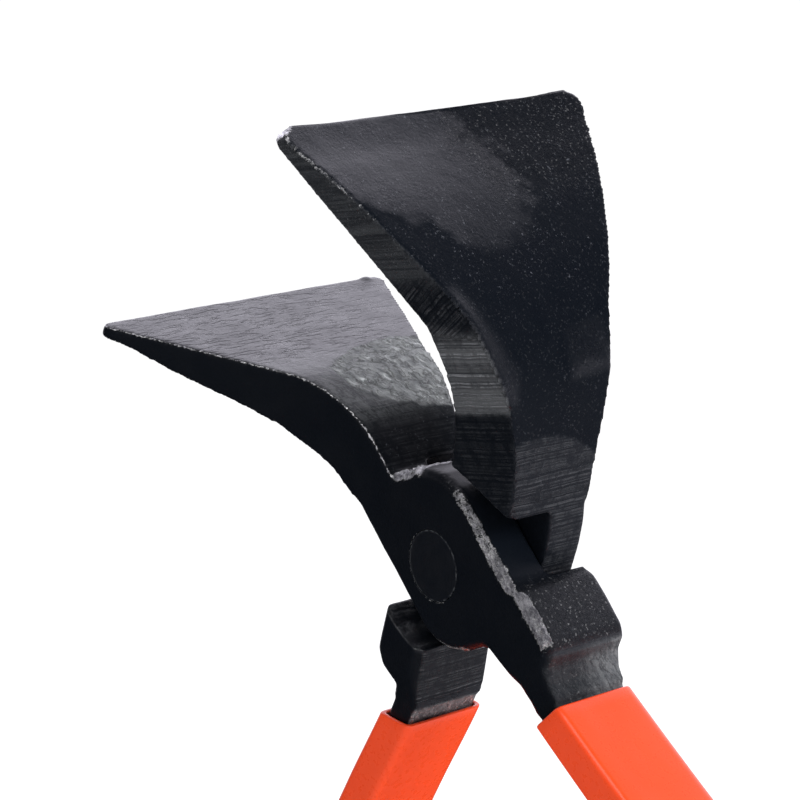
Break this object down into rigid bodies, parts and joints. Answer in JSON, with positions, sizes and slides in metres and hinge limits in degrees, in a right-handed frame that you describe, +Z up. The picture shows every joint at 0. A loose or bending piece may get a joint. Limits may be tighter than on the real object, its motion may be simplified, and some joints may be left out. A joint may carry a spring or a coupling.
{
  "type": "bent sheet metal seaming pliers",
  "caption": "Lap-jointed hand seaming pliers with wide flat jaws bent to one side, a flush pivot rivet and dipped plastic grips.",
  "frame": {"origin": "floor point midway between the ends of the open grips, straight below the pivot", "axes": "+Z up the tool toward the jaws, +Y along the pivot axis toward the rear lever's cheek, the jaws bent toward -X"},
  "size_m": [0.223, 0.0568, 0.2399],
  "materials": {
    "forged_steel": "blackened drop forging, satin, ground on the working faces",
    "rivet_steel": "ground flush and blackened",
    "grip_plastic": "glossy dipped soft plastic"
  },
  "bodies": {
    "rear": {"lever_rear": "forged_steel", "grip_rear": "grip_plastic", "rivet_pivot": "rivet_steel"},
    "front": {"lever_front": "forged_steel", "grip_front": "grip_plastic"}
  },
  "joints": [
    {"name": "pivot", "type": "hinge", "parent": "rear", "child": "front", "pos_m": [0, 0, 0.17176], "axis": [0, 1, 0], "range_deg": [0, 52.9]}
  ]
}
